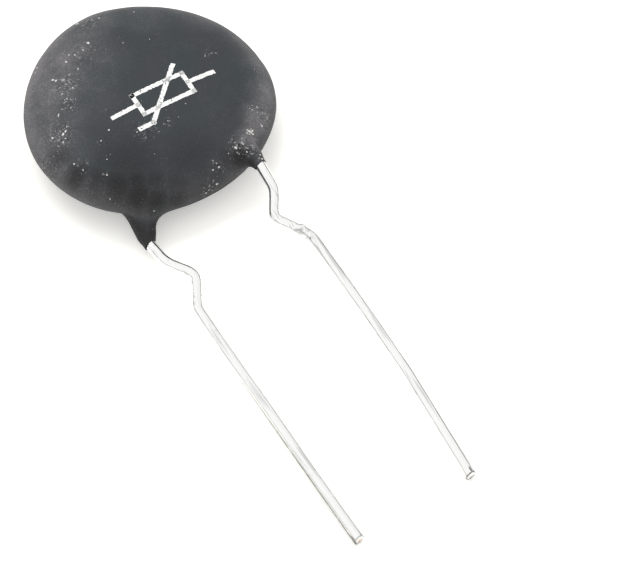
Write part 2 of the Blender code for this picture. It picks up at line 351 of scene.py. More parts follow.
def copy_of_node(node: str, name: str) -> Object:
    """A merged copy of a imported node's mesh, as the start of a finer piece.

    Args:
        node: The node's name.
        name: The new piece's name.

    Returns:
        The copy.
    """
    piece = linked(name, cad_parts[node].data.copy())
    piece.data.materials.clear()
    with editing(piece):
        bpy.ops.mesh.select_all(action="SELECT")
        bpy.ops.mesh.remove_doubles(threshold=1e-6)
    return piece


def points_of(obj: Object) -> np.ndarray:
    """Reads the mesh points of an object.

    Args:
        obj: The object.

    Returns:
        One row for each point, in metres.
    """
    points = np.empty(len(obj.data.vertices) * 3)
    obj.data.vertices.foreach_get("co", points)
    return points.reshape(-1, 3)


def set_points(obj: Object, points: np.ndarray) -> None:
    """Moves the mesh points of an object."""
    obj.data.vertices.foreach_set("co", points.ravel())
    obj.data.update()


def keep_in_box(obj: Object) -> None:
    """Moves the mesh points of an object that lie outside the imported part's box onto its sides."""
    set_points(obj, np.clip(points_of(obj), *CAD_BOX))


def surface_tree(obj: Object) -> BVHTree:
    """The search tree of an object's surface."""
    return BVHTree.FromObject(obj, bpy.context.evaluated_depsgraph_get())


def middle_of(node: str) -> Vector:
    """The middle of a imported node's box."""
    low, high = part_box(node)
    return (low + high) / 2


def finish_piece(piece: Object, material: Material,
                 smooth_deg: float = 40.0) -> Object:
    """Gives a piece its material, smooth shading and body.

    Args:
        piece: The finished mesh object.
        material: Its material.
        smooth_deg: Edges sharper than this stay sharp.

    Returns:
        The piece.
    """
    piece.data.materials.clear()
    piece.data.materials.append(material)
    hold(piece)
    bpy.ops.object.shade_smooth_by_angle(angle=radians(smooth_deg))
    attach(piece, "root")
    LOG.info("%s: %d faces", piece.name, len(piece.data.polygons))
    return piece


@dataclass(frozen=True)
class Spot:
    """A round place on the part, given in the photograph's frame."""

    across_px: float
    down_px: float
    reach: float = 0.3 * MM
    share: float = 1.0


def spots(*rows: tuple[float, ...]) -> tuple[Spot, ...]:
    """Makes spots from rows of pixels across and down, reach in millimetres and, if it isn't 1, share."""
    return tuple(Spot(across, down, reach * MM, *share) for across, down, reach, *share in rows)


@dataclass(frozen=True)
class Viewpoint:
    """The photograph's camera, found from the outlines of the coat and the leads."""

    azimuth_deg: float = -29.365
    elevation_deg: float = 56.195
    roll_deg: float = -2.167
    distance: float = 287.44 * MM
    aim: Triple = (3.575 * MM, -3.324 * MM, 0.0)
    focal_px: float = 4243.3
    width_px: int = 640
    height_px: int = 561
    sensor_mm: float = 36.0

    def axes(self) -> tuple[Vector, Vector, Vector]:
        """Works out how the camera stands.

        Returns:
            Its right, up and backward directions.
        """
        azimuth, elevation, roll = map(radians, (self.azimuth_deg, self.elevation_deg, self.roll_deg))
        back = Vector((sin(azimuth) * cos(elevation), -cos(azimuth) * cos(elevation), sin(elevation)))
        level = Vector((cos(azimuth), sin(azimuth), 0.0))
        rise = back.cross(level)
        return level * cos(roll) + rise * sin(roll), rise * cos(roll) - level * sin(roll), back

    def eye(self) -> Vector:
        """Where the camera stands."""
        return Vector(self.aim) + self.axes()[2] * self.distance

    def hit(self, tree: BVHTree, spot: Spot) -> tuple[Vector | None, Vector | None]:
        """Where a surface is first met through a spot of the photograph's frame, and its normal there.

        Args:
            tree: The surface's search tree.
            spot: The spot.

        Returns:
            The place and the normal, or two times None.
        """
        right, up, back = self.axes()
        across = (spot.across_px - self.width_px / 2) / self.focal_px
        rise = (self.height_px / 2 - spot.down_px) / self.focal_px
        return tree.ray_cast(self.eye(), (right * across + up * rise - back).normalized())[:2]

    def build(self) -> None:
        """Adds the camera and makes it the scene's."""
        right, up, back = self.axes()
        data = bpy.data.cameras.new("photo_camera")
        data.sensor_width = self.sensor_mm
        data.lens = self.focal_px / self.width_px * self.sensor_mm
        data.clip_start, data.clip_end = 0.01, 10.0
        camera = linked("photo_camera", data)
        camera.matrix_world = Matrix.Translation(self.eye()) @ Matrix((right, up, back)).transposed().to_4x4()
        bpy.context.scene.camera = camera


@dataclass(frozen=True)
class LeadPlace:
    """Where one lead runs out of the coat, in the disc's frame."""

    face: Face
    root_x: float
    end_x: float
    neck_end: float
    rim_slant: float
    inner_blend: float
    outer_blend: float
    wire_level: float = 1.355 * MM

    def level(self) -> float:
        """The height of the wire's centre over the disc's mid-plane at the neck's end."""
        return self.face.value * self.wire_level

    def side(self) -> float:
        """Minus one for the left lead and one for the right lead."""
        return 1.0 if self.end_x > 0 else -1.0


@dataclass
class DiscPose:
    """How the disc lies: its middle, and its lean to the right and towards the leads."""

    lean_right_deg: float = 1.7
    lean_leads_deg: float = 1.0
    middle: Vector = field(default_factory=lambda: middle_of("ceramic_disc"))

    def matrix(self) -> Matrix:
        """Works out how the disc's own frame stands in the part's.

        Returns:
            The matrix from the disc's frame to the part's.
        """
        lean = Matrix.Rotation(radians(self.lean_right_deg), 4, "Y")
        lean = lean @ Matrix.Rotation(radians(self.lean_leads_deg), 4, "X")
        return Matrix.Translation(self.middle) @ lean

    def to_disc(self, points: np.ndarray) -> np.ndarray:
        """Points of the part in the disc's own frame."""
        return self.moved_by(self.matrix().inverted(), points)

    def from_disc(self, points: np.ndarray) -> np.ndarray:
        """Points of the disc's own frame in the part's."""
        return self.moved_by(self.matrix(), points)

    @staticmethod
    def moved_by(matrix: Matrix, points: np.ndarray) -> np.ndarray:
        """Rows of points through a matrix."""
        table = np.array(matrix)
        return points @ table[:3, :3].T + table[:3, 3]


# Where the coat's outline is let out, by direction in the photograph, in degrees and millimetres
TRIM = ((0, 0.1), (13.6, 0.07), (21.4, 0), (30, 0.02), (45, 0.05), (60, 0.015), (75, -0.06), (90, -0.095),
        (105, -0.055), (120, 0.04), (135, 0.02), (150, -0.015), (165, -0.02), (180, 0), (195, 0.035), (210, 0),
        (225, -0.03), (255, 0.03), (285, 0.09), (300, 0.06), (315, 0.03), (330, 0), (345, 0))


@dataclass(frozen=True)
class CoatForm:
    """The smooth form of the dipped coat: a pillow that runs into a neck round each lead."""

    leads: tuple[LeadPlace, LeadPlace]
    radius: float = 8.6 * MM
    half_height: float = 2.6 * MM
    squareness: float = 2.29
    oval: float = 0.015
    lobes: float = 0.02
    neck_radius: float = 0.595 * MM
    neck_taper: float = 0.15 * MM
    taper_length: float = 0.9 * MM
    trim: tuple[Pair, ...] = TRIM
    x_seen: Pair = (12.9, -6.0)  # how the disc's x axis runs in the photograph, right and down
    leads_seen: Pair = (7.25, 10.7)  # the same for the way to its leads
    ridge_start: float = 4.6 * MM
    wire_level: float = 1.425 * MM
    step: float = 1e-6

    def trims(self) -> np.ndarray:
        """Turns the trim's directions in the photograph into angles round the disc.

        Returns:
            The angles to a tenth of a degree, and how far the outline is let out there in millimetres.
        """
        seen, more = np.array(self.trim).T
        turn = np.radians(seen)
        axes = np.array((self.x_seen, self.leads_seen)).T
        across, towards = np.linalg.solve(axes, np.stack((np.cos(turn), -np.sin(turn))))
        return np.stack((np.degrees(np.arctan2(-towards, across)).round(1), more))

    def pillow(self, points: np.ndarray) -> np.ndarray:
        """Says how far out points lie from the pillow, as a share of its size.

        Args:
            points: The points in the disc's frame.

        Returns:
            Below zero inside and above it outside.
        """
        x, y, z = points.T
        turn = np.arctan2(y, x)
        radius = self.radius * (1 + self.oval * np.cos(2 * turn) - self.lobes * np.sin(3 * turn))
        at, more = self.trims()
        radius = radius + np.interp(np.degrees(turn), at, more, period=360) * MM
        across, up = np.hypot(x, y) / radius, np.abs(z) / self.half_height
        return (across**self.squareness + up**self.squareness) ** (1 / self.squareness) - 1

    def neck(self, points: np.ndarray, lead: LeadPlace) -> np.ndarray:
        """Measures how far points lie from the round neck over one wire.

        Args:
            points: The points in the disc's frame.
            lead: The wire's place.

        Returns:
            The distances, below zero inside.
        """
        inner = np.array((lead.root_x, -self.ridge_start, lead.face.value * self.wire_level))
        outer = np.array((lead.end_x, -lead.neck_end, lead.level()))
        length = np.linalg.norm(outer - inner)
        along = (outer - inner) / length
        reach = np.maximum((points - inner) @ along, 0)
        thinner = np.clip((reach - length) / self.taper_length + 1, 0, 1)
        radius = self.neck_radius - self.neck_taper * thinner**2 * (3 - 2 * thinner)
        return np.linalg.norm(points - inner - np.outer(reach, along), axis=1) - radius

    def slope(self, form: Callable[[np.ndarray], np.ndarray], points: np.ndarray) -> np.ndarray:
        """The gradient of a form at each point."""
        sides = self.step * np.eye(3)
        return np.stack([(form(points + s) - form(points - s)) / (2 * self.step) for s in sides], axis=1)

    def coat(self, points: np.ndarray) -> np.ndarray:
        """Measures how far points near the surface lie from the whole coat.

        Args:
            points: The points in the disc's frame.

        Returns:
            The distances, below zero inside.
        """
        steepness = np.linalg.norm(self.slope(self.pillow, points), axis=1)
        value = self.pillow(points) / np.maximum(steepness, 1e-9)
        for lead in self.leads:
            neck = self.neck(points, lead)
            along = np.clip((-points[:, 1] - self.ridge_start) / (lead.neck_end - self.ridge_start), 0, 1)
            axis = lead.root_x + (lead.end_x - lead.root_x) * along
            outward = lead.side() * (points[:, 0] - axis) / self.neck_radius
            inner_share = np.clip(0.5 - 0.5 * outward, 0, 1)
            blend = lead.outer_blend + (lead.inner_blend - lead.outer_blend) * inner_share
            share = np.clip(0.5 + 0.5 * (neck - value) / blend, 0, 1)
            value = neck * (1 - share) + value * share - blend * share * (1 - share)
        return value

    def seat(self, points: np.ndarray, rounds: int = 5) -> np.ndarray:
        """Moves points near the coat onto its surface.

        Args:
            points: The points in the disc's frame.
            rounds: How many steps of the root search are made.

        Returns:
            The moved points.
        """
        for _ in range(rounds):
            gradient = self.slope(self.coat, points)
            size = np.maximum((gradient**2).sum(axis=1), 1e-9)
            points = points - gradient * (self.coat(points) / size)[:, None]
        return points


def rolling(points: np.ndarray, size: float, seed: float) -> np.ndarray:
    """Soft noise from -1 to 1 at each point.

    Args:
        points: The points in metres.
        size: The size of its swells in metres.
        seed: A shift that gives another pattern.

    Returns:
        One number for each point.
    """
    shift = Vector((seed, seed * 0.7, -seed))
    return np.array([noise.noise(Vector(point) / size + shift) for point in points])


def layered(points: np.ndarray, layers: Iterable[Triple]) -> np.ndarray:
    """Sums layers of soft noise at each point, each with its strength, size in metres and seed."""
    return sum(strength * rolling(points, size, seed) for strength, size, seed in layers)


@dataclass(frozen=True)
class Resin:
    """The matt grey-black dipped resin, lighter where it is dusty, with painted sheen towards its rim and outline
    and painted shade in patches and on its underside.
    """

    body: Colour = (0.0355, 0.041, 0.0445)
    cool: Colour = (0.0315, 0.0425, 0.0445)
    warm: Colour = (0.0395, 0.041, 0.0475)
    # The colour of the dust haze and of the painted sheen.
    chalk_and_sheen: Colour = (0.203, 0.194, 0.202)
    # The colour of the painted shade, and of the dark dents in rubbed patches.
    painted_shade_and_dent_dark: Colour = (0.009, 0.009, 0.010)
    white: Colour = (0.62, 0.61, 0.59)
    mark: float = 0.20 * MM
    pit: float = 0.16 * MM
    cloud: float = 5.0 * MM
    smear: float = 1.6 * MM
    # Dust and painted sheen: the coat grows lighter towards its rim.
    rim_reach: Pair = (6.4 * MM, 8.6 * MM)
    rim_dust_and_sheen_share: float = 0.20
    # Painted sheen: a lighter band just inside the coat's outline, weak at the front and strongest at the back.
    edge_sheen_reach: Pair = (7.5 * MM, 8.4 * MM)
    edge_sheen_share: float = 0.25
    edge_sheen_front: Pair = (-7.8 * MM, -4.0 * MM)
    edge_sheen_back: Pair = (1.5 * MM, 6.5 * MM)
    # Painted shade: a darker band on the underside, next to the lower outline.
    underside_shade: Pair = (-0.15 * MM, -0.85 * MM)
    roughness: Pair = (0.50, 0.72)
    grain: float = 0.13 * MM
    peel: float = 0.55 * MM
    tint_share: float = 0.6
    smear_share: float = 0.06
    underside_shade_share: float = 0.95
    shade_over_haze: float = 0.8
    grit_range: Pair = (0.50, 0.72)
    grit_share: float = 0.08
    grit_in_haze: float = 1.1
    dent_range: Pair = (0.50, 0.36)
    dent_share: float = 0.8
    fleck_range: Pair = (0.585, 0.66)
    shine: float = 0.28
    relief: float = 0.05 * MM

    def material(self, middle: Vector, light: Sequence[Patch], dark: Sequence[Patch],
                 scuffed: Sequence[Patch]) -> Material:
        """Builds the material.

        Args:
            middle: The middle of the disc.
            light: The lighter patches, dust mixed with painted sheen.
            dark: The patches of painted shade.
            scuffed: The rubbed and pitted patches.

        Returns:
            The material.
        """
        graph = Graph.of_material("dipped_resin")
        clouds = graph.speckle(self.cloud, 2.0, 0.5)
        tint = graph.mix(clouds.ramp(0.35, 0.65), self.cool, self.warm)
        colour = graph.mix(self.tint_share, self.body, tint)
        smears = graph.speckle(self.smear, 5.0, 0.65, twist=0.6)
        fine = graph.speckle(self.grain, 3.0, 0.7)
        flat = graph.vector("MULTIPLY", graph.place(), (1.0, 1.0, 0.0))
        from_axis = graph.vector("DISTANCE", flat, (middle.x, middle.y, 0.0))
        # Dust and painted sheen towards the rim.
        rim = from_axis.ramp(*self.rim_reach)
        patchy = smears.ramp(0.25, 0.75) * 0.6 + 0.4
        haze = smears.ramp(0.45, 0.75) * self.smear_share + rim * patchy * self.rim_dust_and_sheen_share
        back, up = graph.framed(middle, (Vector((0, 1, 0)), Vector((0, 0, 1))))
        # Painted sheen just inside the outline, weak at the front and strongest at the back.
        edge = from_axis.ramp(*self.edge_sheen_reach)
        edge = edge * (back.ramp(*self.edge_sheen_front, 0.1) + back.ramp(*self.edge_sheen_back) * 0.8)
        # The lighter patches add dust and painted sheen.
        haze = haze + self._near(graph, light) * patchy + edge * self.edge_sheen_share
        # Painted shade in the dark patches and on the underside, where the dust and painted sheen are also taken
        # away.
        shade = self._near(graph, dark, largest=True)
        shade = shade.larger(up.ramp(*self.underside_shade) * self.underside_shade_share)
        haze = haze * (1 - shade * self.shade_over_haze)
        grit = fine.ramp(*self.grit_range) * (haze * self.grit_in_haze + self.grit_share)
        colour = graph.mix(shade, colour, self.painted_shade_and_dent_dark)
        colour = graph.mix(haze + grit, colour, self.chalk_and_sheen)
        rubbed = self._near(graph, scuffed, largest=True)
        marks = graph.speckle(self.mark, 3.0, 0.62, twist=0.8)
        colour = graph.mix(marks.ramp(*self.dent_range) * rubbed * self.dent_share, colour, self.painted_shade_and_dent_dark)
        colour = graph.mix(marks.ramp(*self.fleck_range) * rubbed, colour, self.white)
        pits = graph.speckle(self.pit, 3.0, 0.6)
        peel = graph.speckle(self.peel, 3.0, 0.5)
        height = peel * 0.55 + pits * 0.3 + fine * 0.25 + marks * rubbed * 1.2
        rough = smears.ramp(0.3, 0.7, *self.roughness) + haze * 0.3
        return graph.dress(base_color=colour, roughness=rough, specular_ior_level=self.shine,
                           normal=graph.bump(height, 0.6, self.relief))

    @staticmethod
    def _near(graph: Graph, patches: Sequence[Patch], largest: bool = False) -> Value:
        """Says how near the surface is to some patches.

        Args:
            graph: The material's nodes.
            patches: The patches.
            largest: Whether the strongest patch counts, rather than their sum.

        Returns:
            Nothing away from the patches, and a patch's share at its middle.
        """
        total = None
        for place, reach, share in patches:
            near = graph.near(place, reach, reach * 0.1) * share
            if total is None:
                total = near
            else:
                total = total.larger(near) if largest else total + near
        return total


@dataclass(frozen=True)
class Mark:
    """A dark mark on a wire's straight part: its middle and reach along the wire and across it."""

    up_mm: float
    up_reach_mm: float
    off: float
    off_reach: float
    share: float


@dataclass(frozen=True)
class TinnedWire:
    """Bright tin plate, drawn along the wire, with bare copper-toned cuts, painted dark reflection lines along its
    edges and painted shade round the rim of its cut end.
    """

    flank: Triple = (0.95, 0.0, 0.312)
    bright: Colour = (0.90, 0.90, 0.89)
    dull: Colour = (0.50, 0.50, 0.50)
    # The colour of the painted dark lines and shade on the wire, and of its dark marks.
    painted_shade_and_marks: Colour = (0.12, 0.115, 0.11)
    bare: Colour = (0.60, 0.36, 0.26)
    roughness: Pair = (0.07, 0.17)
    streak: float = 0.08 * MM
    stretch: float = 0.04
    long_mark: float = 0.22 * MM
    blotch: float = 0.5 * MM
    gap: float = 0.25 * MM
    grit: float = 0.13 * MM
    gap_range: Pair = (0.36, 0.56)
    mark_range: Pair = (0.54, 0.66)
    mark_share: float = 0.6
    blotch_range: Pair = (0.6, 0.8)
    blotch_share: float = 0.35
    scuff_range: Pair = (0.42, 0.62)
    scuff_share: float = 0.9
    scuff_reach: Pair = (1.1 * MM, 0.3 * MM)
    # Painted dark reflection lines along the wire's edges: where they fade in and out across the wire.
    painted_line_inner: Pair = (0.50, 0.66)
    painted_line_outer: Pair = (1.16, 0.98)
    # Painted shade round the rim of the cut end, most on its underside.
    rim_shade_ring: Pair = (0.60, 0.80)
    rim_shade_below: Pair = (-0.09 * MM, -0.17 * MM)
    rim_shade_up_mm: Pair = (0.10, 0.06)
    relief: float = 0.012 * MM

    def material(self, name: str, tip: Vector, along: Vector, bare: Pair,
                 scuff: tuple[Vector, float], edge: Triple,
                 cut: Triple, rim: float, marks: Sequence[Mark]) -> Material:
        """Builds the material of one lead.

        Args:
            name: The material's name.
            tip: The middle of the wire's cut end.
            along: The direction of the straight part, from the tip.
            bare: How far from the tip the bare metal shows, and how strongly.
            scuff: The middle of the scuffed bend, and how strongly it shows.
            edge: How far from the tip the painted dark reflection lines along the wire's edges run, and how strong
                the left and right ones are.
            cut: How far the end is cut back below, on its right side and as a whole.
            rim: How strongly painted shade darkens the rim of the cut end.
            marks: The dark marks near the tip.

        Returns:
            The material.
        """
        graph = Graph.of_material(name)
        flank = (Vector(self.flank) - along * along.dot(Vector(self.flank))).normalized()
        across, up_wire, rise = graph.framed(tip, (flank, along, flank.cross(along)))
        drawn = graph.joined((across, up_wire * self.stretch, rise))
        per_radius = 1 / WIRE_RADIUS
        off = across * per_radius
        x_share, z_share = graph.framed(tip, (Vector((0.5, 0, 0)), Vector((0, 0, -0.5))))
        back = (z_share * per_radius + 0.5) * (cut[0] / MM)
        back = back + (x_share * per_radius + 0.5) * (cut[1] / MM) + cut[2] / MM
        up_mm = (up_wire * (1 / MM) - back) * (back * (1 / TIP_FADE_MM) + 1)
        lines = graph.speckle(self.streak, 4.0, 0.6, drawn)
        long_marks = graph.speckle(self.long_mark, 3.0, 0.5, drawn)
        blotch = graph.speckle(self.blotch, 4.0, 0.6)
        broken = graph.speckle(self.gap, 3.0, 0.65).ramp(*self.gap_range)
        at_scuff = graph.near(scuff[0], *self.scuff_reach) * scuff[1]
        dull = long_marks.ramp(*self.mark_range) * self.mark_share
        dull = dull.larger(blotch.ramp(*self.blotch_range) * self.blotch_share)
        dull = dull.larger(at_scuff * blotch.ramp(*self.scuff_range) * self.scuff_share)
        colour = graph.mix(dull, self.bright, self.dull)
        at_tip = graph.near(tip, bare[0], bare[0] * 0.4)
        colour = graph.mix(at_tip * bare[1], colour, self.bare)
        # Painted dark reflection lines along the wire's two edges, near the tip.
        lower = up_mm.ramp(edge[0], edge[0] * 0.4)
        painted_edge_lines = (off * off).ramp(*self.painted_line_inner) * (off * off).ramp(*self.painted_line_outer)
        dark = painted_edge_lines * lower * broken.ramp(0.0, 0.6, 0.6, 1.0) * off.ramp(-0.5, 0.5, edge[1], edge[2])
        # Painted shade round the rim of the cut end, most on its underside.
        ring = (off * off + (rise * rise) * per_radius**2).ramp(*self.rim_shade_ring)
        rim_shade = ring.larger(rise.ramp(*self.rim_shade_below)) * up_mm.ramp(*self.rim_shade_up_mm)
        rim_shade = rim_shade * broken.ramp(0.0, 0.6, 0.45, 1.0)
        dark = dark.larger(rim_shade * rim)
        for mark in marks:
            one = (up_mm - mark.up_mm) * (1 / mark.up_reach_mm)
            other = (off - mark.off) * (1 / mark.off_reach)
            dark = dark.larger((one * one + other * other).ramp(1.0, 0.35) * mark.share)
        colour = graph.mix(dark, colour, self.painted_shade_and_marks)
        height = lines * 0.7 + blotch * 0.3 + graph.speckle(self.grit, 3.0, 0.6) * 0.8
        height = height + at_scuff * blotch * 1.5
        rough = dull * 0.25 + lines.ramp(0.3, 0.7, *self.roughness) + lower * (edge[1] * 0.12)
        return graph.dress(base_color=colour, metallic=1.0, roughness=rough,
                           normal=graph.bump(height, 0.35, self.relief))


@dataclass(frozen=True)
class Chalk:
    """A pale powdery finish, for the print's ink and for crumbs of dust."""

    name: str
    light: Colour
    dark: Colour
    grain: float
    relief: float = 0.01 * MM

    def material(self) -> Material:
        """Builds the material.

        Returns:
            The material.
        """
        graph = Graph.of_material(self.name)
        coarse = graph.speckle(self.grain * 4, 4.0, 0.65)
        fine = graph.speckle(self.grain, 2.0, 0.6)
        share = coarse.ramp(0.42, 0.68) * 0.7 + fine.ramp(0.5, 0.7) * 0.3
        return graph.dress(base_color=graph.mix(share, self.light, self.dark),
                           roughness=fine.ramp(0.3, 0.7, 0.62, 0.85), specular_ior_level=0.3,
                           normal=graph.bump(fine + coarse, 0.5, self.relief))


@dataclass(frozen=True)
class Sintered:
    """Dark pressed and fired ceramic, with pores."""

    body: Colour = (0.045, 0.042, 0.040)
    pale: Colour = (0.08, 0.072, 0.066)
    pore: Colour = (0.015, 0.014, 0.014)
    grain: float = 0.12 * MM
    relief: float = 0.02 * MM

    def material(self) -> Material:
        """Builds the material.

        Returns:
            The material.
        """
        graph = Graph.of_material("sintered_oxide")
        pores = graph.cells(self.grain * 2).ramp(0.05, 0.25, 1.0, 0.0)
        grain = graph.speckle(self.grain, 4.0, 0.6)
        colour = graph.mix(pores * 0.8, graph.mix(grain, self.body, self.pale), self.pore)
        return graph.dress(base_color=colour, roughness=grain.ramp(0.3, 0.7, 0.55, 0.8),
                           normal=graph.bump(grain - pores, 0.5, self.relief))


@dataclass(frozen=True)
class SoftMetal:
    """A satin metal with a cloudy surface, for the fired silver and the solder."""

    name: str
    clean: Colour
    dull: Colour
    roughness: Pair
    grain: float
    relief: float

    def material(self) -> Material:
        """Builds the material.

        Returns:
            The material.
        """
        graph = Graph.of_material(self.name)
        cloud = graph.speckle(self.grain * 8, 4.0, 0.6, twist=0.4)
        grain = graph.speckle(self.grain, 3.0, 0.6)
        return graph.dress(base_color=graph.mix(cloud.ramp(0.35, 0.7), self.clean, self.dull), metallic=1.0,
                           roughness=grain.ramp(0.3, 0.7, *self.roughness),
                           normal=graph.bump(grain * 0.6 + cloud * 0.4, 0.5, self.relief))


@dataclass
class Coat:
    """The dipped coat: its fine skin, low swells, ragged neck rims and pimples."""

    form: CoatForm
    pose: DiscPose
    camera: Viewpoint
    cuts: int = 3
    seam_reach: float = 0.07 * MM
    neck_root: float = 7.6 * MM
    packed_end: float = 8.9 * MM
    cut_margin: float = 0.02 * MM
    neck_reach: float = 1.3 * MM
    ragged_depth: float = 0.05 * MM
    ragged_waves: Pair = (3, 9)
    rim_reach: float = 1.5 * MM
    wire_gap: float = -0.01 * MM
    rim_steps: tuple[Pair, ...] = ((0.25, -0.03 * MM), (0.65, 0.0), (1.06, 0.05 * MM))
    swells: tuple[Triple, ...] = ((0.02 * MM, 2.4 * MM, 3.1), (0.007 * MM, 0.7 * MM, 8.2))
    sunk: float = 0.006 * MM
    pimple_rise: float = 0.16
    # Lighter patches of dust mixed with painted sheen, on the left shoulder, along the top and down the right rim.
    light: tuple[Spot, ...] = spots(
        (46, 82, 3.6, 0.54), (70, 150, 2.4, 0.18), (84, 45, 2.2, 0.12), (50, 125, 3.2, 0.36), (62, 48, 2.8, 0.40),
        (95, 24, 2.4, 0.30), (145, 18, 2.4, 0.16), (52, 182, 1.4, 0.22), (80, 207, 1.4, 0.12), (92, 60, 3.4, 0.20),
        (92, 100, 2.8, 0.14), (195, 18, 2.2, 0.12), (70, 90, 2.0, 0.10), (240, 42, 1.2, 0.14),
        (257, 62, 1.6, 0.20), (262, 92, 1.7, 0.36), (256, 118, 1.7, 0.58), (252, 137, 1.4, 0.75),
        (238, 145, 0.9, 0.25), (260, 150, 0.8, 0.2), (205, 22, 1.6, 0.08), (195, 203, 1.0, 0.12),
    )
    # Patches of painted shade: the dark band above the left neck, the hollows beside the right neck and along the
    # lower rim.
    dark: tuple[Spot, ...] = spots(
        (76, 178, 1.7, 0.95), (57, 160, 1.5, 0.72), (155, 182, 1.5, 0.70), (136, 182, 1.5, 0.90),
        (136, 223, 0.9, 0.60), (97, 184, 1.9, 0.80), (118, 188, 2.2, 0.95), (138, 196, 2.2, 1.00),
        (156, 200, 2.0, 0.90), (176, 186, 2.0, 0.55), (130, 165, 3.6, 0.50), (190, 160, 3.4, 0.40),
        (241, 159, 1.5, 1.00), (250, 163, 0.9, 1.00), (228, 158, 1.3, 0.60), (176, 200, 1.6, 0.75),
        (256, 167, 0.45, 1.0), (200, 190, 1.6, 0.35), (216, 180, 1.4, 0.35), (106, 200, 1.4, 0.3),
    )
    scuffs: tuple[Spot, ...] = spots(
        (66, 84, 1.5, 0.60), (68, 102, 1.0, 0.55), (60, 134, 1.4, 0.75), (250, 132, 0.42, 1.30),
        (240, 147, 1.2, 0.95), (258, 152, 0.9, 0.75), (217, 168, 0.7, 0.85), (211, 188, 0.9, 0.75),
        (82, 54, 1.7, 0.35), (82, 167, 0.8, 0.40), (107, 175, 0.5, 0.50), (144, 130, 1.2, 0.35),
        (167, 122, 0.5, 0.55), (101, 141, 0.4, 0.70), (88, 22, 1.2, 0.55), (45, 170, 1.6, 0.50),
        (211, 53, 0.7, 0.45), (205, 192, 0.4, 0.90), (262, 115, 1.2, 0.45),
    )
    pimples: tuple[Spot, ...] = spots(
        (250, 132, 0.30, 0.9), (236, 148, 0.22, 0.8), (262, 126, 0.16, 0.8), (219, 167, 0.2, 0.7),
        (217, 184, 0.22, 0.7), (88, 43, 0.2, 0.6), (54, 81, 0.18, 0.7), (73, 88, 0.16, 0.6), (107, 175, 0.2, 0.6),
        (60, 132, 0.2, 0.6), (132, 109, 0.16, 0.5), (205, 56, 0.18, 0.5),
    )

    def build(self) -> Object:
        """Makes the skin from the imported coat.

        Returns:
            The finished piece.
        """
        skin = copy_of_node("coating", "coating_skin")
        self._open(skin)
        with editing(skin):
            bpy.ops.mesh.select_all(action="SELECT")
            bpy.ops.mesh.tris_convert_to_quads(face_threshold=radians(60), shape_threshold=radians(60))
            bpy.ops.mesh.subdivide(number_cuts=self.cuts)
        place = self._trimmed(self.form.seat(self.pose.to_disc(points_of(skin))))
        place = self.form.seat(place, 2)
        set_points(skin, self.pose.from_disc(place))
        self._relief(skin)
        self._rims(skin)
        keep_in_box(skin)
        tree = surface_tree(skin)
        patches = [self._patches(tree, places) for places in (self.light, self.dark, self.scuffs)]
        material = Resin().material(self.pose.middle, *patches)
        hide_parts("coating")
        return finish_piece(skin, material, 60.0)

    def _open(self, skin: Object) -> None:
        """Leaves only the outer skin, open at the two necks.

        Args:
            skin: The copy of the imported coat.
        """
        middles = np.array([face.center for face in skin.data.polygons])
        inner = [surface_tree(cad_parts[node]) for node in INNER_NODES]
        inside = self.pose.to_disc(middles)[:, 1] < -self.packed_end + self.cut_margin
        for row, middle in enumerate(middles):
            inside[row] |= any(tree.find_nearest(middle, self.seam_reach)[0] is not None for tree in inner)
        delete_faces(skin, inside)

    def _trimmed(self, place: np.ndarray) -> np.ndarray:
        """Draws the neck ends back to a slanted, ragged rim.

        Args:
            place: The skin's points in the disc's frame, which are moved.

        Returns:
            The same points.
        """
        for lead in self.form.leads:
            across = place[:, 0] - lead.end_x
            up = place[:, 2] - lead.level()
            near = (np.hypot(across, up) < self.neck_reach) & (place[:, 1] < -self.neck_root)
            angle = np.arctan2(up[near], across[near])
            wide, tight = self.ragged_waves
            ragged = np.array([noise.noise(Vector((wide * cos(a), wide * sin(a), lead.end_x / MM)))
                               + 0.5 * noise.noise(Vector((tight * cos(a), tight * sin(a), 7.0)))
                               for a in angle])
            inward = 0.5 - 0.5 * lead.side() * np.cos(angle)
            back = lead.rim_slant * inward + self.ragged_depth * ragged + self.packed_end - lead.neck_end
            share = (-self.neck_root - place[near, 1]) / (self.packed_end - self.neck_root)
            place[near, 1] += np.clip(share, 0, 1) * back
        return place

    def _relief(self, skin: Object) -> None:
        """Adds the low swells of a dipped coat and its pimples.

        Args:
            skin: The skin.
        """
        points = points_of(skin)
        normals = np.array([vertex.normal for vertex in skin.data.vertices])
        lift = layered(points, self.swells) - self.sunk
        for middle, reach, share in self._patches(surface_tree(skin), self.pimples):
            away = np.linalg.norm(points - np.array(middle), axis=1) / reach
            lift += self.pimple_rise * share * reach * np.clip(1 - away**2, 0, 1) ** 2
        set_points(skin, points + normals * lift[:, None])

